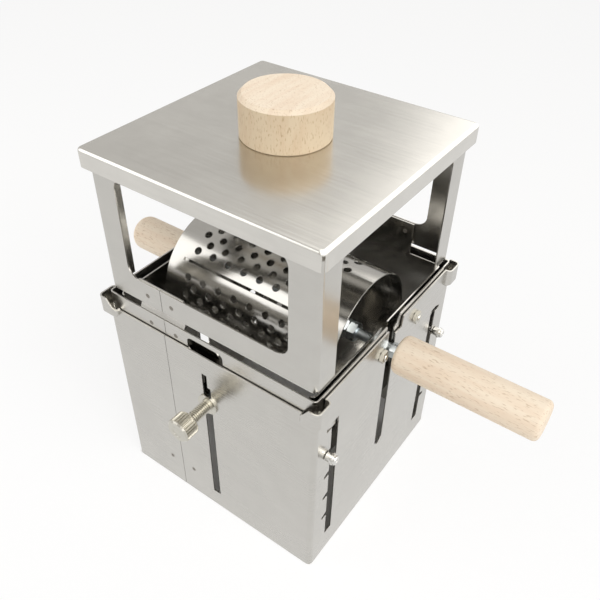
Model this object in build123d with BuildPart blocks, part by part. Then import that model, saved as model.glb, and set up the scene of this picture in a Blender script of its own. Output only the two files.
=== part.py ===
"""Stovetop coffee bean roaster: a square sheet-steel stand with an open hood, a lid,
and a perforated drum on a shaft that is turned by its wooden grips.

Axes: X runs along the drum's shaft, towards the long grip. Y runs from the front face,
where the thumb screw is, to the back. Z is up, and Z = 0 is the edge the stand rests on.
"""
from math import cos, radians, sin
import os

from build123d import *

os.makedirs("parts", exist_ok=True)

# ---------------------------------------------------------------- driving sizes (mm)
sheet = 0.8                  # every sheet piece is this thick
bend = 3.0                   # outer radius where a sheet turns a corner
seam_gap = 0.3               # open line where the two ends of a bent sheet meet

stand_side = 141.0
side_top = 138.0             # of the stand's side walls
front_top = 130.2            # of its front and back walls, between the ears
ear_reach = 3.3              # the corners are pressed out this far
ear_width = 12.0
ear_height = 10.5
ear_slope = 6.0              # along which the ears' tops run down to the front wall

collar_gap = 0.5             # between the stand's inside and the collar
collar_top = 140.3
collar_height = 31.3
finger_hole_width = 24.0
finger_hole_top = 137.2
finger_hole_height = 9.0

frame_inset = 3.0            # of the hood's walls from the stand's, each side
frame_bottom = 143.5
rail_height = 14.1
post_width = 16.0
window_corner = 7.0
top_rail_height = 10.0

lid_gap = 2.5                # between the hood and the lid's flange
lid_top = 226.8
lid_flange = 10.0
lid_bend = 2.0
corner_slit = 1.4

knob_diameter = 46.0
knob_height = 22.0
knob_bevel = 2.0
knob_foot_rounding = 1.0

shaft_height = 123.0         # height of the drum's axis
shaft_diameter = 6.0
shaft_clearance = 0.08       # radial, in the carrier's notches
shaft_bevel = 0.6
drum_diameter = 76.0
drum_gap = 7.1               # between the carrier's inside and the drum's ends, on average
drum_offset = -1.5           # middle of the drum along X
cap_recess = 12.0            # how far the end caps sit inside the drum
cap_rim = 5.0
hole_diameter = 4.5
hole_pitch = 11.0            # along the drum, in each row
holes_in_row = 8
holes_offset = -0.45         # of the rows' middle from the drum's middle
row_count = 41
slit_angle = 39.6            # of the drum's lengthwise seam, up from the front
slit_width = 1.6
slit_margin = 9.0            # from each end of the drum
margin_above = 10.8          # degrees from the seam to the first row
margin_below = 13.4          # degrees from the last row back to the seam

nut_flats = 10.0             # the shaft's M6 nuts
nut_height = 5.0
grip_nut_flats = 8.0         # the nuts that lock the grips
grip_nut_height = 4.8
grip_diameter = 22.0
long_grip_length = 81.0
short_grip_length = 42.0
grip_gap = 5.5               # between the stand and a grip's inner end
grip_rounding = 3.0
short_grip_rounding = 6.0
grip_bore_depth = 30.0

carrier_gap = 3.0            # between the collar's inside and the carrier
carrier_bottom = 80.0
carrier_side_top = 137.5
carrier_front_top = 122.0
tongue_top = 132.5           # of the front wall's tongue, seen through the collar's hole
tongue_left = -18.0
tongue_right = 6.0
tongue_rounding = 4.0
carrier_back_top = 158.0
carrier_back_width = 90.0

level_floors = [111.1, 92.0, 72.9, 53.8, 34.7]   # where the rods can rest
rod_level = level_floors[1]
channel_width = 6.3          # the stepped slot's upright channel
channel_bottom = 16.0
channel_top = 115.0
hook_inset = 10.1            # from the stand's faces to the steps' far ends
hook_reach = 4.4             # how far the steps reach from the channel
hook_mouth = 3.8
hook_end = 2.3
neck_diameter = 2.0
neck_clearance = 0.05
rod_diameter = 5.0
rod_head_diameter = 6.6
rod_head_length = 6.0
rod_head_bevel = 0.6
rod_end_gap = 0.3            # between the stand's wall and the rod's shoulders and heads
push_fit = 0.05              # radial, round screws and where pieces are fixed on the shaft

shaft_slot_width = 8.0
shaft_slot_bottom = 42.0
mouth_start = 131.0          # from here up the stand's slot is wider on its back side
mouth_reach = 10.5
mouth_lean = 1.5             # how much further it reaches at the top
collar_mouth = [(4.0, 134.0), (7.6, 136.4), (10.5, 141.0)]   # the collar's flared edge

screw_height = 95.0          # the thumb screw's axis
screw_slot_width = 5.4
screw_slot_bottom = 13.0
screw_slot_shoulder = 108.0
screw_slot_top = 117.0
screw_slot_neck = 3.4
stud_diameter = 4.8
stud_end = 3.0               # how far it reaches in behind the carrier's front face
hub_diameter = 7.2
hub_length = 14.0
thumb_diameter = 14.4
thumb_length = 9.5
thumb_bevel = 0.8
washer_diameter = 13.0
washer_thickness = 1.0
weld_nut_flats = 8.0
weld_nut_gap = 0.3

seam_x = -27.6               # the front seam of the stand and the collar
frame_seam_x = -29.8
strip_width = 28.0           # the stand's backing strip
strip_height = 106.0
link_width = 31.3            # the strips that join the hood to the collar
link_rise = 0.4              # their upper edge shows above the rail
link_bottom = 112.0

collar_screw_places = [(-9.0, 124.5), (27.0, 127.0)]     # (Y, Z), before and behind the slot
collar_screw_diameter = 4.0
collar_screw_head = 7.0
collar_screw_head_height = 1.8
collar_nut_flats = 7.0
collar_nut_height = 2.4
collar_screw_end = 0.9       # the thread shows this far beyond its nut

knob_screw_diameter = 4.0
knob_screw_length = 16.0
knob_screw_head = 8.0
knob_screw_head_height = 2.2
knob_screw_bevel = 0.6

# ------------------------------------------------------------------- derived sizes
stand_inside = stand_side - 2 * sheet
collar_side = stand_inside - 2 * collar_gap
collar_inside = collar_side - 2 * sheet
frame_side = stand_side - 2 * frame_inset
frame_inside = frame_side - 2 * sheet
frame_top = lid_top - sheet
lid_side = frame_side + 2 * (lid_gap + sheet)
carrier_side = collar_inside - 2 * carrier_gap
drum_length = carrier_side - 2 * sheet - 2 * drum_gap
slit_length = drum_length - 2 * slit_margin
grip_start = stand_side / 2 + grip_gap         # from the middle of the stand
hook_tip = stand_side / 2 - hook_inset         # these three too
channel_outer = hook_tip - hook_reach
channel_inner = channel_outer - channel_width
sill = frame_bottom + rail_height
step_inside = sheet * 0.4142             # keeps the sheet's thickness round a 45 degree step
drum_start = drum_offset - drum_length / 2
drum_end = drum_offset + drum_length / 2
drum_inside = drum_diameter - 2 * sheet
rod_y = hook_tip - neck_diameter / 2 - neck_clearance
rod_z = rod_level + neck_diameter / 2 + neck_clearance
rod_slot_y = (channel_inner + hook_tip) / 2
rod_slot_width = hook_tip - channel_inner + rod_diameter

# ------------------------------------------------------------------------- stand body
# One bent sheet. Its side walls are taller than the front and the back, and its corners are
# pressed out into ears. Both side walls have the drum's slot and two stepped slots.
ear_start = side_top - ear_height
ear_centre = stand_side / 2 + ear_reach - ear_width / 2
ear_inner = stand_side / 2 + ear_reach - ear_width
pocket_width = ear_width - 2 * sheet

with BuildPart() as stand_body:
    with BuildSketch():
        RectangleRounded(stand_side, stand_side, bend)
    extrude(amount=side_top)
    with BuildSketch(Plane.XY.offset(ear_start)) as ears:
        with GridLocations(2 * ear_centre, 2 * ear_centre, 2, 2):
            RectangleRounded(ear_width, ear_width, bend)
    extrude(amount=ear_height)
    extrude(ears.sketch, amount=-ear_reach, taper=45)
    # the hollow, with the ears' pockets
    with BuildSketch():
        RectangleRounded(stand_inside, stand_inside, bend - sheet)
    extrude(amount=side_top, mode=Mode.SUBTRACT)
    with BuildSketch(Plane.XY.offset(ear_start + step_inside)) as pockets:
        with GridLocations(2 * ear_centre, 2 * ear_centre, 2, 2):
            RectangleRounded(pocket_width, pocket_width, bend - sheet)
    extrude(amount=ear_height, mode=Mode.SUBTRACT)
    extrude(pockets.sketch, amount=-ear_reach, taper=45, mode=Mode.SUBTRACT)
    # the front and back walls are lower between the ears
    with BuildSketch(Plane.XZ):
        with BuildLine():
            Polyline((-ear_inner, front_top), (ear_inner, front_top),
                     (ear_inner + ear_slope, side_top), (ear_inner + ear_slope, side_top + 1),
                     (-ear_inner - ear_slope, side_top + 1), (-ear_inner - ear_slope, side_top),
                     close=True)
        make_face()
    extrude(amount=stand_side, both=True, mode=Mode.SUBTRACT)
    # the drum's slot, open at the top
    with BuildSketch(Plane.YZ):
        with BuildLine():
            Polyline((-shaft_slot_width / 2, side_top + 1),
                     (-shaft_slot_width / 2, shaft_slot_bottom + shaft_slot_width / 2),
                     (0, shaft_slot_bottom),
                     (shaft_slot_width / 2, shaft_slot_bottom + shaft_slot_width / 2),
                     (shaft_slot_width / 2, mouth_start), (mouth_reach, mouth_start),
                     (mouth_reach + mouth_lean, side_top + 1), close=True)
        make_face()
    extrude(amount=stand_side, both=True, mode=Mode.SUBTRACT)
    # the stepped slots
    with BuildSketch(Plane.YZ) as rod_slots:
        with Locations(((channel_inner + channel_outer) / 2, (channel_bottom + channel_top) / 2)):
            Rectangle(channel_outer - channel_inner, channel_top - channel_bottom)
        for floor in level_floors:
            with BuildLine():
                Polyline((channel_outer - 0.5, floor), (hook_tip, floor),
                         (hook_tip, floor + hook_end), (channel_outer, floor + hook_mouth),
                         (channel_outer - 0.5, floor + hook_mouth), close=True)
            make_face()
        mirror(about=Plane.YZ)
    extrude(amount=stand_side, both=True, mode=Mode.SUBTRACT)
    # screw holes beside the slot, in both side walls
    with BuildSketch(Plane.YZ):
        with Locations(*collar_screw_places):
            Circle(collar_screw_diameter / 2 + push_fit)
    extrude(amount=stand_side, both=True, mode=Mode.SUBTRACT)
    # the thumb screw's slot, narrower above its shoulder
    with BuildSketch(Plane.XZ) as screw_slot:
        with Locations((0, (screw_slot_bottom + screw_slot_shoulder) / 2)):
            Rectangle(screw_slot_width, screw_slot_shoulder - screw_slot_bottom)
        with Locations(((screw_slot_neck - screw_slot_width) / 2,
                        (screw_slot_shoulder + screw_slot_top) / 2)):
            Rectangle(screw_slot_neck, screw_slot_top - screw_slot_shoulder)
        with Locations((seam_x, side_top / 2)):
            Rectangle(seam_gap, side_top)
    extrude(amount=stand_side, mode=Mode.SUBTRACT)

# ------------------------------------------------------- backing strip of the stand's seam
with BuildPart() as stand_strip:
    with Locations((seam_x, (sheet - stand_inside) / 2, 0)):
        Box(strip_width, sheet, strip_height, align=(Align.CENTER, Align.CENTER, Align.MIN))

# ----------------------------------------------------------------------------- collar
# A second square sleeve, screwed inside the stand's top. The hood stands on it.
with BuildPart() as collar:
    with BuildSketch(Plane.XY.offset(collar_top)):
        RectangleRounded(collar_side, collar_side, bend - sheet)
        RectangleRounded(collar_inside, collar_inside, bend - 2 * sheet, mode=Mode.SUBTRACT)
    extrude(amount=-collar_height)
    # the drum's notch
    with BuildSketch(Plane.YZ):
        with BuildLine():
            Polyline((-shaft_slot_width / 2, collar_top + 1),
                     (-shaft_slot_width / 2, collar_top - collar_height - 1),
                     (shaft_slot_width / 2, collar_top - collar_height - 1),
                     *collar_mouth, close=True)
        make_face()
    extrude(amount=stand_side, both=True, mode=Mode.SUBTRACT)
    # finger hole, seam and the foot of the thumb screw's slot
    with BuildSketch(Plane.XZ):
        with Locations((0, finger_hole_top - finger_hole_height / 2)):
            RectangleRounded(finger_hole_width, finger_hole_height, 3.0)
        with Locations(((screw_slot_neck - screw_slot_width) / 2,
                        (collar_top - collar_height - 1 + screw_slot_top) / 2)):
            Rectangle(screw_slot_neck, screw_slot_top - collar_top + collar_height + 1)
        with Locations((seam_x, collar_top - collar_height / 2)):
            Rectangle(seam_gap, collar_height + 1)
    extrude(amount=stand_side, mode=Mode.SUBTRACT)
    # screw holes beside the notch, in both side walls
    with BuildSketch(Plane.YZ):
        with Locations(*collar_screw_places):
            Circle(collar_screw_diameter / 2 + push_fit)
    extrude(amount=stand_side, both=True, mode=Mode.SUBTRACT)

# ------------------------------------------------------------------------------- hood
# A square tube with a window in every face. The side faces are open right down, so that
# the drum's shaft passes, and are left as two posts each.
window = frame_side - 2 * post_width

with BuildPart() as hood:
    with BuildSketch(Plane.XY.offset(frame_bottom)):
        RectangleRounded(frame_side, frame_side, bend)
        RectangleRounded(frame_inside, frame_inside, bend - sheet, mode=Mode.SUBTRACT)
    extrude(amount=frame_top - frame_bottom)
    with BuildSketch(Plane.XZ) as front_window:
        with Locations((0, (sill + frame_top - top_rail_height) / 2)):
            RectangleRounded(window, frame_top - top_rail_height - sill, window_corner)
    extrude(amount=frame_side, both=True, mode=Mode.SUBTRACT)
    with BuildSketch(Plane.YZ) as side_window:
        with Locations((0, (frame_bottom - 10 + frame_top - top_rail_height) / 2)):
            RectangleRounded(window, frame_top - top_rail_height - frame_bottom + 10,
                             window_corner)
    extrude(amount=frame_side, both=True, mode=Mode.SUBTRACT)
    with BuildSketch(Plane.XZ) as hood_seam:
        with Locations((frame_seam_x, frame_bottom + rail_height / 2)):
            Rectangle(seam_gap, rail_height + 1)
    extrude(amount=frame_side, mode=Mode.SUBTRACT)

# ------------------------------------------------------- strips that join hood and collar
# Each lies on the hood's inside, steps outwards in the gap, and lies on the collar's inside.
hood_face = frame_inside / 2
collar_face = collar_inside / 2
lower_step = collar_top + step_inside
upper_step = frame_bottom + step_inside

with BuildPart() as front_link:
    with BuildSketch(Plane.YZ.offset(frame_seam_x - link_width / 2)) as link_profile:
        with BuildLine():
            Polyline((-hood_face, sill + link_rise), (-hood_face, frame_bottom),
                     (-collar_face, collar_top), (-collar_face, link_bottom),
                     (sheet - collar_face, link_bottom), (sheet - collar_face, lower_step),
                     (sheet - hood_face, upper_step), (sheet - hood_face, sill + link_rise),
                     close=True)
        make_face()
    extrude(amount=link_width)

with BuildPart() as back_link:
    add(front_link.part)
    mirror(about=Plane.XZ, mode=Mode.REPLACE)

# -------------------------------------------------------------------------------- lid
with BuildPart() as lid:
    with BuildSketch(Plane.XY.offset(lid_top - lid_flange)):
        RectangleRounded(lid_side, lid_side, bend)
    extrude(amount=lid_flange)
    fillet(lid.faces().sort_by(Axis.Z)[-1].edges(), lid_bend)
    with BuildSketch(Plane.XY.offset(lid_top - lid_flange)):
        RectangleRounded(lid_side - 2 * sheet, lid_side - 2 * sheet, bend - sheet)
    extrude(amount=lid_flange - sheet, mode=Mode.SUBTRACT)
    # the flange's corners are left open
    with BuildSketch(Plane.XY.offset(lid_top - lid_flange)):
        with Locations(Rotation(0, 0, 45), Rotation(0, 0, -45)):
            Rectangle(2 * lid_side, corner_slit)
    extrude(amount=lid_flange - lid_bend, mode=Mode.SUBTRACT)
    with BuildSketch(Plane.XY.offset(lid_top)):
        Circle(knob_screw_diameter / 2 + push_fit)
    extrude(amount=-lid_flange, mode=Mode.SUBTRACT)

with BuildPart() as knob:
    with BuildSketch(Plane.XY.offset(lid_top)):
        Circle(knob_diameter / 2)
    extrude(amount=knob_height)
    chamfer(knob.edges().sort_by(Axis.Z)[-1], knob_bevel)
    fillet(knob.edges().sort_by(Axis.Z)[0], knob_foot_rounding)
    with BuildSketch(Plane.XY.offset(lid_top)):
        Circle(knob_screw_diameter / 2 + push_fit)
    extrude(amount=knob_screw_length - sheet, mode=Mode.SUBTRACT)

with BuildPart() as knob_screw:
    with BuildSketch(Plane.XY.offset(frame_top)):
        Circle(knob_screw_diameter / 2)
    extrude(amount=knob_screw_length)
    with BuildSketch(Plane.XY.offset(frame_top)):
        Circle(knob_screw_head / 2)
    extrude(amount=-knob_screw_head_height)
    chamfer(knob_screw.edges().sort_by(Axis.Z)[0], knob_screw_bevel)

# ------------------------------------------------------------------------------- drum
# Rolled from one perforated sheet. Its two ends meet in an open seam, closed only at the
# drum's ends. Every other row of holes is shifted by half a pitch.
row_step = (360.0 - margin_above - margin_below) / (row_count - 1)
first_hole = drum_offset + holes_offset - (holes_in_row - 1) * hole_pitch / 2

with BuildPart() as drum_shell:
    with BuildSketch(Plane(origin=(drum_start, 0, shaft_height), z_dir=(1, 0, 0))):
        Circle(drum_diameter / 2)
        Circle(drum_inside / 2, mode=Mode.SUBTRACT)
    extrude(amount=drum_length)
    hole_places = []
    for row in range(row_count):
        angle = radians(slit_angle + margin_above + row * row_step)
        shift = (row % 2 - 0.5) * hole_pitch / 2
        for place in range(holes_in_row):
            hole_places.append(Plane(
                origin=(first_hole + shift + place * hole_pitch,
                        -cos(angle) * drum_diameter / 2,
                        shaft_height + sin(angle) * drum_diameter / 2),
                x_dir=(1, 0, 0), z_dir=(0, -cos(angle), sin(angle))))
    with Locations(*hole_places):
        Cylinder(hole_diameter / 2, 4 * sheet, mode=Mode.SUBTRACT)
    seam_angle = radians(slit_angle)
    with Locations(Plane(origin=(drum_offset, -cos(seam_angle) * drum_diameter / 2,
                                 shaft_height + sin(seam_angle) * drum_diameter / 2),
                         x_dir=(1, 0, 0), z_dir=(0, -cos(seam_angle), sin(seam_angle)))):
        Box(slit_length, slit_width, 4 * sheet, mode=Mode.SUBTRACT)

# Dished end caps, let into the drum
with BuildPart() as right_cap:
    with BuildSketch(Plane(origin=(drum_end - cap_recess, 0, shaft_height), z_dir=(1, 0, 0))):
        Circle(drum_inside / 2 - push_fit)
    extrude(amount=cap_rim)
    with BuildSketch(Plane(origin=(drum_end - cap_recess + sheet, 0, shaft_height),
                           z_dir=(1, 0, 0))):
        Circle(drum_inside / 2 - push_fit - sheet)
    extrude(amount=cap_rim, mode=Mode.SUBTRACT)
    with BuildSketch(Plane(origin=(drum_end, 0, shaft_height), z_dir=(1, 0, 0))):
        Circle(shaft_diameter / 2 + push_fit)
    extrude(amount=-drum_length, mode=Mode.SUBTRACT)

with BuildPart() as left_cap:
    add(right_cap.part)
    mirror(about=Plane.YZ.offset(drum_offset), mode=Mode.REPLACE)

# ------------------------------------------------------------------------------ shaft
shaft_end = grip_start + grip_bore_depth

with BuildPart() as shaft:
    with BuildSketch(Plane(origin=(-shaft_end, 0, shaft_height), z_dir=(1, 0, 0))):
        Circle(shaft_diameter / 2)
    extrude(amount=2 * shaft_end)
    chamfer(shaft.edges().filter_by(GeomType.CIRCLE), shaft_bevel)

cap_face = drum_end - cap_recess + sheet     # outer face of the right cap's plate
shaft_nut_places = [(cap_face, nut_height, nut_flats),
                    (2 * drum_offset - cap_face, -nut_height, nut_flats),
                    (grip_start, -grip_nut_height, grip_nut_flats),
                    (-grip_start, grip_nut_height, grip_nut_flats)]

with BuildPart() as shaft_nuts:
    for start, length, flats in shaft_nut_places:
        with BuildSketch(Plane(origin=(start, 0, shaft_height), z_dir=(1, 0, 0))):
            RegularPolygon(flats / 2, 6, major_radius=False)
            Circle(shaft_diameter / 2 + push_fit, mode=Mode.SUBTRACT)
        extrude(amount=length)

with BuildPart() as long_grip:
    with BuildSketch(Plane(origin=(grip_start, 0, shaft_height), z_dir=(1, 0, 0))):
        Circle(grip_diameter / 2)
    extrude(amount=long_grip_length)
    fillet(long_grip.edges().filter_by(GeomType.CIRCLE), grip_rounding)
    with BuildSketch(Plane(origin=(grip_start, 0, shaft_height), z_dir=(1, 0, 0))):
        Circle(shaft_diameter / 2 + push_fit)
    extrude(amount=grip_bore_depth, mode=Mode.SUBTRACT)

with BuildPart() as short_grip:
    with BuildSketch(Plane(origin=(-grip_start, 0, shaft_height), z_dir=(-1, 0, 0))):
        Circle(grip_diameter / 2)
    extrude(amount=short_grip_length)
    fillet(short_grip.edges().group_by(Axis.X)[0], short_grip_rounding)
    fillet(short_grip.edges().group_by(Axis.X)[-1], grip_rounding)
    with BuildSketch(Plane(origin=(-grip_start, 0, shaft_height), z_dir=(-1, 0, 0))):
        Circle(shaft_diameter / 2 + push_fit)
    extrude(amount=grip_bore_depth, mode=Mode.SUBTRACT)

# ---------------------------------------------------------------------- drum carrier
# A sheet box inside the stand. It stands on the two rods, and the shaft lies in its notches.
# Its back wall is taller than the rest and shows behind the drum.
carrier_half = carrier_side / 2
carrier_inside = carrier_side - 2 * sheet
notch_radius = shaft_diameter / 2 + shaft_clearance
rod_slot_top = rod_z + rod_diameter / 2

with BuildPart() as carrier:
    with BuildSketch(Plane.XY.offset(carrier_bottom)):
        RectangleRounded(carrier_side, carrier_side, bend)
        RectangleRounded(carrier_inside, carrier_inside, bend - sheet, mode=Mode.SUBTRACT)
    extrude(amount=carrier_back_top - carrier_bottom)
    with BuildSketch(Plane.XY.offset(carrier_side_top)):
        Rectangle(carrier_side + 1, carrier_side + 1)
        with Locations((0, carrier_half)):
            Rectangle(carrier_back_width, carrier_side, mode=Mode.SUBTRACT)
    extrude(amount=carrier_back_top, mode=Mode.SUBTRACT)
    # the front wall's low edge and its tongue
    with BuildSketch(Plane.XZ):
        with Locations((0, carrier_back_top)):
            Rectangle(carrier_side - 2 * bend, 2 * (carrier_back_top - carrier_front_top))
        with Locations(((tongue_left + tongue_right) / 2, (carrier_bottom + tongue_top) / 2)):
            RectangleRounded(tongue_right - tongue_left, tongue_top - carrier_bottom,
                             tongue_rounding, mode=Mode.SUBTRACT)
    extrude(amount=carrier_side, mode=Mode.SUBTRACT)
    # the shaft's notches and the rods' slots, in both side walls
    with BuildSketch(Plane.YZ):
        with Locations((0, shaft_height)):
            Circle(notch_radius)
        with Locations((0, (shaft_height + carrier_back_top) / 2)):
            Rectangle(2 * notch_radius, carrier_back_top - shaft_height)
        with Locations((rod_slot_y, (carrier_bottom + rod_slot_top) / 2),
                       (-rod_slot_y, (carrier_bottom + rod_slot_top) / 2)):
            Rectangle(rod_slot_width, rod_slot_top - carrier_bottom)
    extrude(amount=carrier_side, both=True, mode=Mode.SUBTRACT)
    with BuildSketch(Plane.XZ):
        with Locations((0, screw_height)):
            Circle(stud_diameter / 2 + push_fit)
    extrude(amount=carrier_side, mode=Mode.SUBTRACT)

# Nut welded to the carrier's front wall
with BuildPart() as weld_nut:
    with BuildSketch(Plane.XZ.offset(carrier_half)):
        with Locations((0, screw_height)):
            RegularPolygon(weld_nut_flats / 2, 6, major_radius=False)
            Circle(stud_diameter / 2 + push_fit, mode=Mode.SUBTRACT)
    extrude(amount=stand_inside / 2 - weld_nut_gap - carrier_half)

# ------------------------------------------------------------- thumb screw and washer
stand_face = stand_side / 2
washer_face = stand_face + washer_thickness

with BuildPart() as thumb_screw:
    with BuildSketch(Plane.XZ.offset(carrier_half - stud_end)):
        with Locations((0, screw_height)):
            Circle(stud_diameter / 2)
    extrude(amount=washer_face + stud_end - carrier_half)
    with BuildSketch(Plane.XZ.offset(washer_face)):
        with Locations((0, screw_height)):
            Circle(hub_diameter / 2)
    extrude(amount=hub_length)
    with BuildSketch(Plane.XZ.offset(washer_face + hub_length)):
        with Locations((0, screw_height)):
            Circle(thumb_diameter / 2)
    extrude(amount=thumb_length)
    chamfer(thumb_screw.edges().filter_by(GeomType.CIRCLE).group_by(Axis.Y)[0], thumb_bevel)

with BuildPart() as thumb_washer:
    with BuildSketch(Plane.XZ.offset(stand_face)):
        with Locations((0, screw_height)):
            Circle(washer_diameter / 2)
            Circle(stud_diameter / 2 + push_fit, mode=Mode.SUBTRACT)
    extrude(amount=washer_thickness)

# ------------------------------------------------------------------------------- rods
# Each rod has a thin neck at both ends, which lies in the stand's slots.
shoulder = stand_inside / 2 - rod_end_gap
head_start = stand_face + rod_end_gap

with BuildPart() as front_rod:
    for radius, start, length in ((rod_diameter / 2, -shoulder, 2 * shoulder),
                                  (neck_diameter / 2, -head_start, 2 * head_start),
                                  (rod_head_diameter / 2, head_start, rod_head_length),
                                  (rod_head_diameter / 2, -head_start, -rod_head_length)):
        with BuildSketch(Plane(origin=(start, -rod_y, rod_z), z_dir=(1, 0, 0))):
            Circle(radius)
        extrude(amount=length)
    chamfer(front_rod.edges().filter_by(GeomType.CIRCLE).group_by(Axis.X)[0], rod_head_bevel)
    chamfer(front_rod.edges().filter_by(GeomType.CIRCLE).group_by(Axis.X)[-1], rod_head_bevel)

with BuildPart() as back_rod:
    add(front_rod.part)
    mirror(about=Plane.XZ, mode=Mode.REPLACE)

# --------------------------------------------------------------------- collar fasteners
# Four screws from the inside, their nuts outside on the stand.

with BuildPart() as collar_screws:
    with BuildSketch(Plane.YZ.offset(collar_face - collar_screw_head_height)):
        with Locations(*collar_screw_places):
            Circle(collar_screw_head / 2)
    extrude(amount=collar_screw_head_height)
    with BuildSketch(Plane.YZ.offset(collar_face)):
        with Locations(*collar_screw_places):
            Circle(collar_screw_diameter / 2)
    extrude(amount=stand_face + collar_nut_height + collar_screw_end - collar_face)
    fillet(collar_screws.edges().filter_by(GeomType.CIRCLE).group_by(Axis.X)[-1],
           collar_screw_end / 2)
    mirror(about=Plane.YZ)

with BuildPart() as collar_nuts:
    with BuildSketch(Plane.YZ.offset(stand_face)):
        with Locations(*collar_screw_places):
            RegularPolygon(collar_nut_flats / 2, 6, major_radius=False)
            Circle(collar_screw_diameter / 2 + push_fit, mode=Mode.SUBTRACT)
    extrude(amount=collar_nut_height)
    mirror(about=Plane.YZ)

# ----------------------------------------------------------------------------- export
for name, piece in (("stand_body", stand_body), ("stand_strip", stand_strip),
                    ("collar", collar), ("collar_screws", collar_screws),
                    ("collar_nuts", collar_nuts), ("hood", hood),
                    ("front_link", front_link), ("back_link", back_link),
                    ("lid", lid), ("knob", knob), ("knob_screw", knob_screw),
                    ("carrier", carrier), ("weld_nut", weld_nut),
                    ("thumb_screw", thumb_screw), ("thumb_washer", thumb_washer),
                    ("front_rod", front_rod), ("back_rod", back_rod),
                    ("drum_shell", drum_shell), ("right_cap", right_cap),
                    ("left_cap", left_cap), ("shaft", shaft), ("shaft_nuts", shaft_nuts),
                    ("long_grip", long_grip), ("short_grip", short_grip)):
    piece.part.label = name
    export_step(piece.part, f"parts/{name}.step")
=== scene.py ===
# %% [markdown]
# # A hand cranked coffee roaster, dressed around its frame
# The roaster is a square box of thin brushed steel that stands over a small flame.
# An open hood with a loose lid sits on top, and a perforated drum full of beans turns inside
# it on a long shaft with wooden grips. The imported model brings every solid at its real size
# and place, so this lesson adds what a workshop would see: the brushing of the steel, the
# grain of the beech, the knurl and the threads of the screws, and the small weld marks.

# %% Load the frame
from math import cos, pi, radians, sin, tan, tau

import bmesh
import bpy
from mathutils import Matrix, Vector


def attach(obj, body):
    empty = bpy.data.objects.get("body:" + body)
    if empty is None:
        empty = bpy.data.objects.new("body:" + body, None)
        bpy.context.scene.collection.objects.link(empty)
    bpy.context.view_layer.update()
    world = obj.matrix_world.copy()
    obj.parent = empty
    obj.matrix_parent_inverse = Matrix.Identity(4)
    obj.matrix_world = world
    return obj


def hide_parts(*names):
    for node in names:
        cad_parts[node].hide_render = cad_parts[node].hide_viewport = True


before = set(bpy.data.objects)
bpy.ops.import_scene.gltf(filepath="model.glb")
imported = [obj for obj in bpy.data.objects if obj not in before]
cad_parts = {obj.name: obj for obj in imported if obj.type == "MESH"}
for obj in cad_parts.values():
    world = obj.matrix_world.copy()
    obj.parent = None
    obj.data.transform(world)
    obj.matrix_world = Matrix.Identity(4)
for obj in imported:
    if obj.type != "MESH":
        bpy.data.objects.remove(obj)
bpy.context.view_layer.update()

mm = 0.001

# %% [markdown]
# ## A workbench for finishes
# Every finish here is a small graph of nodes around one Principled shader. Steel and wood are
# both streaky: long marks in one direction, fine ones across it. One stretched noise gives
# that, because squeezing its coordinates along one axis draws its blobs out into lines.
# The coordinates are the object's own, in metres, so a mark keeps its real size on each piece.

# %% Start a finish
def start_finish(name):
    finish = bpy.data.materials.new(name)
    finish.use_nodes = True
    tree = finish.node_tree
    return finish, tree.nodes, tree.links, tree.nodes["Principled BSDF"]


def streaks(nodes, links, per_metre, detail=3.0, bite=0.6):
    """Noise with its own number of blobs per metre along each axis."""
    place = nodes.new("ShaderNodeTexCoord")
    stretch = nodes.new("ShaderNodeMapping")
    stretch.inputs["Scale"].default_value = per_metre
    noise = nodes.new("ShaderNodeTexNoise")
    noise.inputs["Scale"].default_value = 1.0
    noise.inputs["Detail"].default_value = detail
    noise.inputs["Roughness"].default_value = bite
    links.new(place.outputs["Object"], stretch.inputs["Vector"])
    links.new(stretch.outputs["Vector"], noise.inputs["Vector"])
    return noise.outputs["Fac"]


def rescale(nodes, links, value, low, high, at_low=0.3, at_high=0.7):
    """Turns a value that runs from at_low to at_high into one from low to high."""
    scale = nodes.new("ShaderNodeMapRange")
    scale.inputs["From Min"].default_value = at_low
    scale.inputs["From Max"].default_value = at_high
    scale.inputs["To Min"].default_value = low
    scale.inputs["To Max"].default_value = high
    links.new(value, scale.inputs["Value"])
    return scale.outputs["Result"]


def add_up(nodes, links, first, second):
    total = nodes.new("ShaderNodeMath")
    total.operation = "ADD"
    links.new(first, total.inputs[0])
    links.new(second, total.inputs[1])
    return total.outputs["Value"]


def shade_between(nodes, links, share, dark, light):
    """A colour between dark and light, by a share from 0 to 1."""
    mix = nodes.new("ShaderNodeMix")
    mix.data_type = "RGBA"
    links.new(share, mix.inputs[0])
    mix.inputs[6].default_value = (*dark, 1)
    mix.inputs[7].default_value = (*light, 1)
    return mix.outputs[2]


def times(colour, share):
    return tuple(min(1.0, c * share) for c in colour)


print("the workbench for finishes is ready")

# %% [markdown]
# ## Soft edges on thin sheet
# A sheared sheet has a tiny round on each edge, and that round is what draws the bright line
# round every rim in a photograph. Rounding the mesh itself would cost a great many faces, so
# the Bevel node only bends the normal near an edge, a quarter of a millimetre each way.

# %% Rounded edges and fine relief
sheet_edge, nut_edge, wood_edge = 0.25 * mm, 0.12 * mm, 0.3 * mm


def relief(nodes, links, skin, height, strength, depth, edge=sheet_edge):
    """Bump from a height, on top of softly rounded edges."""
    rounded = nodes.new("ShaderNodeBevel")
    rounded.samples = 4
    rounded.inputs["Radius"].default_value = edge
    bump = nodes.new("ShaderNodeBump")
    bump.inputs["Strength"].default_value = strength
    bump.inputs["Distance"].default_value = depth
    links.new(rounded.outputs["Normal"], bump.inputs["Normal"])
    links.new(height, bump.inputs["Height"])
    links.new(bump.outputs["Normal"], skin.inputs["Normal"])


print("sheet edges are rounded by", sheet_edge / mm, "mm")

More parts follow.
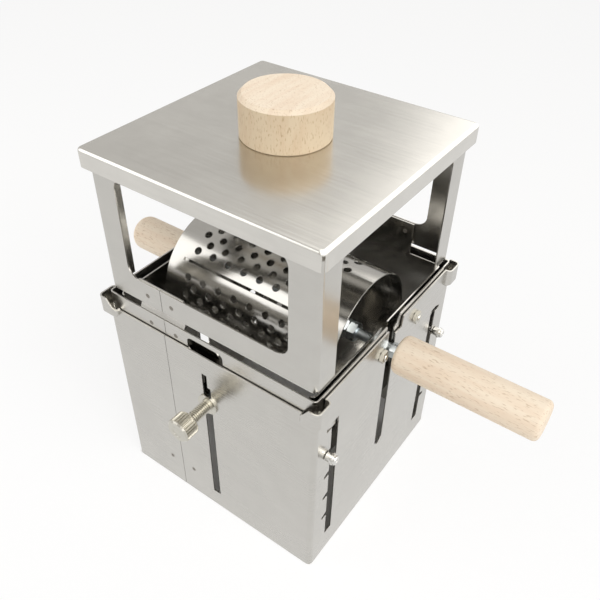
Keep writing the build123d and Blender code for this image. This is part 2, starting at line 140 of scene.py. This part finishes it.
# %% [markdown]
# ## Brushed stainless steel
# Stainless sheet comes from the mill with a fine brushing in one direction. It smears each
# reflection across the lines and leaves it sharp along them. The finish has hair lines in
# colour, roughness and relief, broad faint clouds from handling, and real anisotropy: the
# shader stretches its highlights square to a tangent, and that tangent runs round the box on
# its walls and straight across the lid. The walls and the hood get a darker tint than the lid,
# which is painted shade on the upright sheet.

# %% Mix the brushed steel
steel_tint = (0.66, 0.642, 0.602)
handling_marks, mill_patches = (14, 14, 14), (60, 60, 60)        # blobs per metre


def brushed_steel(name, tint, hair_lines, round_axis, roughness=0.27, clouds=0.05,
                  anisotropy=0.4, relief_strength=0.08, contrast=0.06):
    finish, nodes, links, skin = start_finish(name)
    lines = streaks(nodes, links, hair_lines, detail=4.0, bite=0.7)
    handling = streaks(nodes, links, handling_marks, detail=2.0, bite=0.5)
    patches = streaks(nodes, links, mill_patches)
    skin.inputs["Metallic"].default_value = 1.0
    skin.inputs["Anisotropic"].default_value = anisotropy
    tangent = nodes.new("ShaderNodeTangent")
    tangent.direction_type = "RADIAL"
    tangent.axis = round_axis
    links.new(tangent.outputs["Tangent"], skin.inputs["Tangent"])
    rough = add_up(nodes, links,
                   rescale(nodes, links, lines, roughness - 0.03, roughness + 0.03),
                   rescale(nodes, links, handling, -clouds, clouds))
    links.new(rough, skin.inputs["Roughness"])
    tone = add_up(nodes, links, rescale(nodes, links, lines, 0.0, 0.6),
                  rescale(nodes, links, patches, 0.0, 0.4))
    links.new(shade_between(nodes, links, tone, times(tint, 1 - contrast),
                            times(tint, 1 + contrast)), skin.inputs["Base Color"])
    relief(nodes, links, skin, lines, relief_strength, 0.02 * mm)
    return finish


level_brush = (18, 18, 4200)         # lines that run level round the walls
# Painted shade: the walls and the hood take a darker share of the steel tint than the lid, so
# upright sheet reads darker than the top.
wall_steel_painted_shade = brushed_steel("stand_wall_steel_painted_shade", times(steel_tint, 0.8), level_brush, "Z")
hood_steel = brushed_steel("hood_steel", times(steel_tint, 0.79), level_brush, "Z",
                           roughness=0.22)
lid_steel = brushed_steel("lid_steel", times(steel_tint, 0.94), (16, 3600, 3600), "Y",
                          roughness=0.2, contrast=0.08)
print("brushed steel mixed for the walls, the hood and the lid")

# %% [markdown]
# ## Bright rolled steel
# The drum, its end caps and the carrier inside are smoother sheet with a mill shine. They
# mirror the dark inside of the box, so they look almost black in places, with streaks of
# light along the drum. They get less roughness, and a darker tint that is painted shade for
# the dark inside of the box.

# %% Mix the bright steel
# Painted shade: the drum and the carrier take a darker share of the steel tint, for the dark
# inside of the box.
drum_steel = brushed_steel("drum_steel", times(steel_tint, 0.72), (60, 2200, 2200), "X",
                           roughness=0.16, clouds=0.03, anisotropy=0.2)
inner_steel_painted_shade = brushed_steel("carrier_steel", times(steel_tint, 0.8), level_brush, "Z",
                            roughness=0.16, clouds=0.04)
print("bright steel mixed for the drum and the carrier")

# %% [markdown]
# ## Plated fasteners
# Screws, nuts and rods are turned and plated. Turning leaves rings round the axis, and plating
# leaves a slightly yellow or slightly blue shine. They are small, so a fine even noise stands
# for the turning marks.

# %% Mix the plated finishes
turning_marks, wear = (1800, 1800, 1800), (160, 160, 160)        # blobs per metre


def plated(name, tint, roughness):
    finish, nodes, links, skin = start_finish(name)
    skin.inputs["Metallic"].default_value = 1.0
    marks = streaks(nodes, links, turning_marks, detail=2.0)
    worn = streaks(nodes, links, wear)
    links.new(rescale(nodes, links, worn, roughness - 0.06, roughness + 0.1),
              skin.inputs["Roughness"])
    links.new(shade_between(nodes, links, worn, times(tint, 0.88), times(tint, 1.05)),
              skin.inputs["Base Color"])
    relief(nodes, links, skin, marks, 0.15, 0.02 * mm, edge=nut_edge)
    return finish


nickel = plated("nickel_plating", (0.55, 0.53, 0.47), 0.2)
zinc = plated("zinc_plating", (0.60, 0.64, 0.66), 0.28)
bright_rod = plated("rod_steel", (0.66, 0.65, 0.62), 0.2)
weld_steel = plated("weld_steel", (0.26, 0.24, 0.21), 0.35)
print("four plated finishes mixed")

# %% [markdown]
# ## Beech
# The knob and the grips are bare beech, a pale pinkish cream. Beech shows soft growth lines
# a few millimetres apart, and over them hundreds of short brown flecks, its rays, that all
# lie along the fibres. Growth lines are a stretched noise, flecks a finer one that is cut off
# high, so that only its peaks show. On the knob the colour is also darkened where the surface
# faces sideways: painted shade that makes the turned side browner than the flat top.

# %% Mix the beech
pale_beech = (0.86, 0.745, 0.60)
growth_tint = (0.77, 0.60, 0.45)
fleck_tint = (0.50, 0.35, 0.22)


def beech(name, growth_lines, flecks, painted_side_shade=(1, 1, 1)):
    finish, nodes, links, skin = start_finish(name)
    lines = streaks(nodes, links, growth_lines, detail=3.0, bite=0.55)
    rays = streaks(nodes, links, flecks, detail=1.0, bite=0.4)
    fibres = streaks(nodes, links, tuple(4 * n for n in growth_lines), detail=4.0, bite=0.7)
    ground = shade_between(nodes, links, rescale(nodes, links, lines, 0.0, 0.55, 0.42, 0.66),
                           pale_beech, growth_tint)
    strength = rescale(nodes, links, rays, 0.0, 0.6, 0.6, 0.72)
    flecked = nodes.new("ShaderNodeMix")
    flecked.data_type = "RGBA"
    links.new(strength, flecked.inputs[0])
    links.new(ground, flecked.inputs[6])
    flecked.inputs[7].default_value = (*fleck_tint, 1)
    # Painted shade: where the surface faces sideways the colour is multiplied darker, so a
    # side reads darker than a top.
    facing = nodes.new("ShaderNodeNewGeometry")
    apart = nodes.new("ShaderNodeSeparateXYZ")
    links.new(facing.outputs["Normal"], apart.inputs["Vector"])
    turned = nodes.new("ShaderNodeMix")
    turned.data_type, turned.blend_type = "RGBA", "MULTIPLY"
    links.new(rescale(nodes, links, apart.outputs["Z"], 1.0, 0.0, 0.2, 0.9), turned.inputs[0])
    links.new(flecked.outputs[2], turned.inputs[6])
    turned.inputs[7].default_value = (*painted_side_shade, 1)
    links.new(turned.outputs[2], skin.inputs["Base Color"])
    links.new(rescale(nodes, links, fibres, 0.5, 0.68), skin.inputs["Roughness"])
    skin.inputs["Specular IOR Level"].default_value = 0.3
    relief(nodes, links, skin, fibres, 0.25, 0.05 * mm, edge=wood_edge)
    return finish


# Painted shade: the knob's sideways faces are multiplied by this darker colour.
knob_beech = beech("knob_beech", (230, 22, 40), (1900, 1900, 420), (0.72, 0.68, 0.6))
grip_beech = beech("grip_beech", (16, 230, 230), (330, 1700, 1700))
print("beech mixed for the knob and the grips")

# %% [markdown]
# ## Give each solid its finish
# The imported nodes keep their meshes. Only their material changes, which the frame allows.

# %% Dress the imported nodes
finish_of = {
    "stand_body": wall_steel_painted_shade, "stand_strip": wall_steel_painted_shade, "collar": wall_steel_painted_shade,
    "hood": hood_steel, "front_link": hood_steel, "back_link": hood_steel, "lid": lid_steel,
    "knob": knob_beech, "long_grip": grip_beech, "short_grip": grip_beech,
    "carrier": inner_steel_painted_shade, "drum_shell": drum_steel, "right_cap": drum_steel,
    "left_cap": drum_steel, "shaft": zinc, "shaft_nuts": zinc, "weld_nut": zinc,
    "thumb_screw": nickel, "thumb_washer": nickel, "knob_screw": zinc,
    "collar_screws": nickel, "collar_nuts": nickel, "front_rod": bright_rod,
    "back_rod": bright_rod,
}
for node, finish in finish_of.items():
    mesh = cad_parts[node].data
    mesh.materials.clear()
    mesh.materials.append(finish)
print("dressed", len(finish_of), "nodes of", len(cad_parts))

# %% [markdown]
# ## Turned pieces
# A lathe cuts a round piece by moving a tool along it, so a turned piece is known from its
# outline: how far along, how thick. The helper below turns such an outline into rings of
# points. A rib depth cuts every other point of a ring inward, which is how a knurling wheel
# leaves a grip of small teeth.

# %% Turn an outline on the lathe
def turn(shape, outline, start, along, points=64, teeth=0):
    """outline holds (distance, radius) or (distance, radius, tooth depth), in millimetres."""
    along = Vector(along).normalized()
    up = Vector((0, 0, 1))
    side = along.cross(up).normalized()
    count = 4 * teeth if teeth else points
    last = None
    for step in outline:
        distance, radius, depth = (*step, 0)[:3]
        middle = Vector(start) + along * distance
        if radius == 0:
            ring = [shape.verts.new(middle * mm)]
        else:
            ring = []
            for n in range(count):
                angle = tau * n / count
                reach = radius - (depth if n % 4 in (2, 3) else 0)
                ring.append(shape.verts.new(
                    (middle + (side * cos(angle) + up * sin(angle)) * reach) * mm))
        if last:
            for n in range(count):
                four = [last[n % len(last)], last[(n + 1) % len(last)],
                        ring[(n + 1) % len(ring)], ring[n % len(ring)]]
                shape.faces.new(list(dict.fromkeys(four)))
        last = ring
    return shape


def set_down(shape, name, body, finish, stands_for=()):
    """Turns a bmesh into a piece that rides on a body of the roaster."""
    bmesh.ops.recalc_face_normals(shape, faces=shape.faces)
    for face in shape.faces:
        face.smooth = True
    for edge in shape.edges:
        edge.smooth = not (edge.is_manifold and edge.calc_face_angle() > radians(32))
    mesh = bpy.data.meshes.new(name)
    shape.to_mesh(mesh)
    shape.free()
    mesh.materials.append(finish)
    piece = bpy.data.objects.new(name, mesh)
    bpy.context.scene.collection.objects.link(piece)
    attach(piece, body)
    if stands_for:
        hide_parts(*stands_for)
    print(name, "has", len(mesh.polygons), "faces")
    return piece


# %% [markdown]
# ## The knurled thumb screw
# It clamps the drum's carrier at a height. Fingers need grip, so its head is knurled straight
# along the axis, and the thick neck behind it still shows the thread that the head was made
# on. The thread is cut as grooves side by side: at this size the lead of a real helix, under
# a millimetre in a turn, can't be told from them.

# %% Turn the thumb screw
screw_height = 95.0
screw_tail = -62.4               # Y of its end inside the carrier
washer_at, neck_end, head_end = 9.1, 23.1, 32.6


def thread(start, end, crest, root, pitch):
    turns = int((end - start) / pitch)
    made = []
    for n in range(turns):
        made += [(start + (n + 0.25) * pitch, crest), (start + (n + 0.5) * pitch, crest),
                 (start + (n + 0.85) * pitch, root), (start + (n + 0.95) * pitch, root)]
    return made


screw_outline = [(0, 0), (0, 2.0), (0.4, 2.4), (washer_at, 2.4), (washer_at, 3.6)]
screw_outline += thread(washer_at + 0.3, neck_end - 0.4, 3.6, 2.7, 1.25)
screw_outline += [(neck_end, 3.0), (neck_end, 6.3), (neck_end + 0.8, 7.2, 0.1),
                  (neck_end + 1.0, 7.2, 0.9), (head_end - 1.1, 7.2, 0.9),
                  (head_end - 0.8, 7.2, 0.1), (head_end, 6.2), (head_end, 3.4),
                  (head_end - 0.25, 3.1), (head_end - 0.25, 0)]
set_down(turn(bmesh.new(), screw_outline, (0, screw_tail, screw_height), (0, -1, 0), teeth=26),
         "knurled_thumb_screw", "thumb_screw", nickel, ("thumb_screw",))

# %% [markdown]
# ## The two rods
# Each rod carries one side of the drum's carrier, and its thin necks lie in the steps of the
# stand's slots. Only its heads show outside. They are turned, with a raised ring near the end
# and a small centre hole that the lathe's tailstock left.

# %% Turn the rods
rod_y, rod_z = 59.35, 93.05
rod_head = [(0.7, 0), (0.25, 0.8), (0, 1.1), (0, 2.1), (0.5, 2.7), (1.6, 2.7), (1.8, 3.3),
            (2.9, 3.3), (3.1, 2.7), (5.8, 2.7), (6.0, 2.5), (6.0, 1.0)]
rod_length = 153.6
rod_outline = rod_head + [(7.4, 1.0), (7.4, 2.5)]
rod_outline += [(rod_length - along, radius) for along, radius in reversed(rod_outline)]
for side, body in ((-1, "front_rod"), (1, "back_rod")):
    set_down(turn(bmesh.new(), rod_outline, (-rod_length / 2, side * rod_y, rod_z), (1, 0, 0)),
             body + "_turned", body, bright_rod, (body,))

# %% [markdown]
# ## Nuts with chamfered corners
# A hexagon nut is sliced from bar, and each end is then turned to a cone, so every flat ends
# in a curved line. The helper works that out at each angle round the nut: where the hexagon
# reaches further than the cone, the cone cuts it down.

# %% Shape a hexagon nut
def add_nut(shape, start, along, flats, height, bore, corner_up=True, chamfer=30.0):
    along = Vector(along).normalized()
    up = Vector((0, 0, 1))
    side = along.cross(up).normalized()
    count = 72
    turned_by = 0 if corner_up else radians(30)
    rings = [[] for _ in range(6)]
    for n in range(count):
        angle = tau * n / count
        from_flat = (angle + turned_by) % (pi / 3) - pi / 6
        reach = flats / 2 / cos(from_flat)
        cut = max(0.0, (reach - flats / 2 * 0.97) * tan(radians(chamfer)))
        out = side * sin(angle) + up * cos(angle)
        places = ((bore, 0), (flats / 2 * 0.97, 0), (reach, cut), (reach, height - cut),
                  (flats / 2 * 0.97, height), (bore, height))
        for ring, (radius, distance) in zip(rings, places):
            ring.append(shape.verts.new(
                (Vector(start) + along * distance + out * radius) * mm))
    for low, high in zip(rings, rings[1:] + rings[:1]):
        for n in range(count):
            shape.faces.new((low[n], low[(n + 1) % count], high[(n + 1) % count], high[n]))
    return shape


shaft_height, shaft_bore = 123.0, 3.05
right_cap_at, left_cap_at, grip_at = 44.8, -47.8, 76
shaft_nuts = bmesh.new()
for start, along, flats, height in ((right_cap_at, 1, 10, 5), (left_cap_at, -1, 10, 5),
                                    (grip_at, -1, 8, 4.8), (-grip_at, 1, 8, 4.8)):
    add_nut(shaft_nuts, (start, 0, shaft_height), (along, 0, 0), flats, height, shaft_bore)
set_down(shaft_nuts, "shaft_nuts_chamfered", "drum", zinc, ("shaft_nuts",))

# %% [markdown]
# ## The collar's screws
# Two small screws on each side wall hold the collar inside the stand. Their nuts are outside,
# thin, with the rounded end of the screw just past them, so each one catches a bright dot.

# %% Turn the collar's screws and their nuts
wall_face, head_at = 70.5, 66.6
screw_places = ((-9.0, 124.5), (27.0, 127.0))
small_screw = [(0, 0), (0, 2.9), (0.5, 3.5), (1.8, 3.5), (1.8, 2.0), (2.6, 2.0)]
small_screw += thread(2.7, 5.7, 2.0, 1.75, 0.7)
small_screw += [(6.3, 2.0), (6.6, 1.9), (6.9, 1.55), (7.1, 1.0), (7.2, 0)]
screws, nuts = bmesh.new(), bmesh.new()
for side in (1, -1):
    for y, z in screw_places:
        turn(screws, small_screw, (side * head_at, y, z), (side, 0, 0), points=40)
        add_nut(nuts, (side * wall_face, y, z), (side, 0, 0), 7.0, 2.4, 2.05, corner_up=False)
set_down(screws, "collar_screws_turned", "stand", nickel, ("collar_screws",))
set_down(nuts, "collar_nuts_chamfered", "stand", nickel, ("collar_nuts",))

# %% [markdown]
# ## Spot weld marks
# The bent sheets are closed by strips that are spot welded behind their seams. Each weld
# leaves a shallow round dimple with a raised lip, almost three millimetres across, darker than
# the sheet. They come in pairs, one each side of a seam, and the carrier's back plate has one.

# %% Press the weld marks
weld_outline = [(0.02, 0), (0.02, 0.7), (0.16, 1.0), (0.16, 1.15), (-0.02, 1.45), (-0.02, 0)]
weld_places = {
    "stand": [(-36.8, -70.5, 21.4), (-18.7, -70.5, 21.4), (-37.9, -69.2, 133.3),
              (-20.2, -69.2, 133.3), (-39.5, -67.5, 149.8), (-22.7, -67.5, 149.8)],
    "carrier": [(39.9, 64.6, 151.7)],
}
for body, places in weld_places.items():
    marks = bmesh.new()
    for place in places:
        turn(marks, weld_outline, place, (0, -1, 0), points=28)
    set_down(marks, "weld_marks_" + body, body, weld_steel)

# %% [markdown]
# ## A white table and a white room
# The roaster stands on white paper in a pale room. The floor is diffuse, so it takes the soft
# shadow, and for the camera and for mirror-like rays most of its brightness comes from its own
# colour. That keeps the background white without more light on the object. Under the roaster
# the paper only has the light that falls on it, so the inside stays dark.

# %% Lay the floor
def seen_directly(nodes, links):
    """1 for rays from the camera, in reflections and through glass, else 0."""
    path = nodes.new("ShaderNodeLightPath")
    total = None
    for ray in ("Is Camera Ray", "Is Glossy Ray", "Is Transmission Ray"):
        if total is None:
            total = path.outputs[ray]
        else:
            larger = nodes.new("ShaderNodeMath")
            larger.operation = "MAXIMUM"
            links.new(total, larger.inputs[0])
            links.new(path.outputs[ray], larger.inputs[1])
            total = larger.outputs["Value"]
    return total


def outside_square(nodes, links, half_side, blur):
    """0 under the roaster and 1 outside it, with a soft edge of the given width."""
    place = nodes.new("ShaderNodeTexCoord")
    apart = nodes.new("ShaderNodeSeparateXYZ")
    links.new(place.outputs["Object"], apart.inputs["Vector"])
    reach = nodes.new("ShaderNodeMath")
    reach.operation = "MAXIMUM"
    for n, axis in enumerate("XY"):
        size = nodes.new("ShaderNodeMath")
        size.operation = "ABSOLUTE"
        links.new(apart.outputs[axis], size.inputs[0])
        links.new(size.outputs["Value"], reach.inputs[n])
    return rescale(nodes, links, reach.outputs["Value"], 0.0, 1.0, half_side, half_side + blur)


own_share = 0.78                 # of the paper's brightness that is its own
under_roaster, shade_blur = 70.0 * mm, 1.0 * mm
paper = bpy.data.materials.new("white_paper")
paper.use_nodes = True
nodes, links = paper.node_tree.nodes, paper.node_tree.links
nodes.clear()
out = nodes.new("ShaderNodeOutputMaterial")
matt = nodes.new("ShaderNodeBsdfDiffuse")
matt.inputs["Color"].default_value = (0.93, 0.925, 0.92, 1)
own = nodes.new("ShaderNodeEmission")
own.inputs["Color"].default_value = (1, 1, 1, 1)
share = nodes.new("ShaderNodeMath")
share.operation = "MULTIPLY"
links.new(seen_directly(nodes, links), share.inputs[0])
links.new(rescale(nodes, links, outside_square(nodes, links, under_roaster, shade_blur),
                  0.0, own_share, 0.0, 1.0), share.inputs[1])
blend = nodes.new("ShaderNodeMixShader")
links.new(share.outputs["Value"], blend.inputs["Fac"])
links.new(matt.outputs["BSDF"], blend.inputs[1])
links.new(own.outputs["Emission"], blend.inputs[2])
links.new(blend.outputs["Shader"], out.inputs["Surface"])

half_floor, below_roaster = 4.0, 0.0002
flat = bmesh.new()
bmesh.ops.create_grid(flat, x_segments=1, y_segments=1, size=half_floor)
bmesh.ops.translate(flat, verts=flat.verts, vec=(0, 0, -below_roaster))
floor_mesh = bpy.data.meshes.new("table_top")
flat.to_mesh(floor_mesh)
flat.free()
floor_mesh.materials.append(paper)
floor = bpy.data.objects.new("table_top", floor_mesh)
bpy.context.scene.collection.objects.link(floor)
print("the floor is", 2 * half_floor, "m square")

# %% [markdown]
# ## The room in the steel
# Steel shows the room more than itself. Here the room is grey over the left and bright
# from the right, with a soft edge between, so the lid runs from warm grey to white. The camera
# itself sees plain white.

# %% Light the room
room = bpy.data.worlds.new("pale_room")
bpy.context.scene.world = room
room.use_nodes = True
nodes, links = room.node_tree.nodes, room.node_tree.links
nodes.clear()
out = nodes.new("ShaderNodeOutputWorld")
bright_side = Vector((0.877, 0.20, 0.438)).normalized()
direction = nodes.new("ShaderNodeTexCoord")
towards = nodes.new("ShaderNodeVectorMath")
towards.operation = "DOT_PRODUCT"
towards.inputs[1].default_value = bright_side
links.new(direction.outputs["Generated"], towards.inputs[0])
edge_start, edge_end = 0.015, 0.085
edge = rescale(nodes, links, towards.outputs["Value"], 0.0, 1.0, edge_start, edge_end)
grey, bright, soft = 0.72, 2.2, 0.62
level = rescale(nodes, links, edge, grey, bright, 0.0, 1.0)
warm_white, plain_white = (1.0, 0.985, 0.96, 1), (1, 1, 1, 1)
soft_light, steel_light, white = (nodes.new("ShaderNodeBackground") for _ in range(3))
for light, colour in ((soft_light, warm_white), (steel_light, warm_white),
                      (white, plain_white)):
    light.inputs["Color"].default_value = colour
soft_light.inputs["Strength"].default_value = soft
links.new(level, steel_light.inputs["Strength"])
path = nodes.new("ShaderNodeLightPath")
for_steel = nodes.new("ShaderNodeMixShader")
links.new(path.outputs["Is Glossy Ray"], for_steel.inputs["Fac"])
links.new(soft_light.outputs["Background"], for_steel.inputs[1])
links.new(steel_light.outputs["Background"], for_steel.inputs[2])
for_camera = nodes.new("ShaderNodeMixShader")
links.new(path.outputs["Is Camera Ray"], for_camera.inputs["Fac"])
links.new(for_steel.outputs["Shader"], for_camera.inputs[1])
links.new(white.outputs["Background"], for_camera.inputs[2])
links.new(for_camera.outputs["Shader"], out.inputs["Surface"])
print("the room runs from", grey, "to", bright)

# %% [markdown]
# ## Two soft lamps
# A large lamp high on the right shapes the pieces and draws the streak along the drum. A
# weaker one on the left opens the shadows. Both are big for their distance, so no shadow
# has a hard edge.

# %% Hang the lamps
def soft_lamp(name, place, aim, size, watts):
    light = bpy.data.lights.new(name, "AREA")
    light.shape = "SQUARE"
    light.size = size
    light.energy = watts
    lamp = bpy.data.objects.new(name, light)
    bpy.context.scene.collection.objects.link(lamp)
    lamp.location = place
    lamp.rotation_euler = (Vector(aim) - Vector(place)).to_track_quat("-Z", "Y").to_euler()
    return lamp


middle = (0, 0, 0.13)
soft_lamp("key_lamp", (0.75, -0.25, 1.0), middle, 0.7, 7.0)
soft_lamp("fill_lamp", (-0.8, -0.7, 0.7), middle, 0.9, 4.0)
print("two lamps hang over the table")

# %% [markdown]
# ## The camera
# It looks down at the front right corner from about forty degrees, close enough for the
# walls to draw together towards the floor. Its place and its lens follow from the edges of the
# square box, whose right angles fix the perspective.

# %% Set up the camera
azimuth, elevation, roll = radians(34.99), radians(39.83), radians(1.19)
aim_at, distance = Vector((4.24, 8.73, 118.0)) * mm, 404.77 * mm
focal_length, picture_width = 680.83, 600            # both in the picture's own pixels
away = Vector((sin(azimuth) * cos(elevation), -cos(azimuth) * cos(elevation), sin(elevation)))
level_right = (-away).cross(Vector((0, 0, 1))).normalized()
level_up = level_right.cross(-away)
right = cos(roll) * level_right + sin(roll) * level_up
up = -sin(roll) * level_right + cos(roll) * level_up
lens = bpy.data.cameras.new("camera")
lens.sensor_width = 36.0
lens.lens = lens.sensor_width * focal_length / picture_width
lens.clip_start, lens.clip_end = 0.01, 20
camera = bpy.data.objects.new("camera", lens)
bpy.context.scene.collection.objects.link(camera)
camera.matrix_world = Matrix.Translation(aim_at + away * distance) @ Matrix(
    (right, up, away)).transposed().to_4x4()
bpy.context.scene.camera = camera
bpy.context.scene.view_settings.view_transform = "Standard"
print("the lens is", round(lens.lens, 2), "mm")
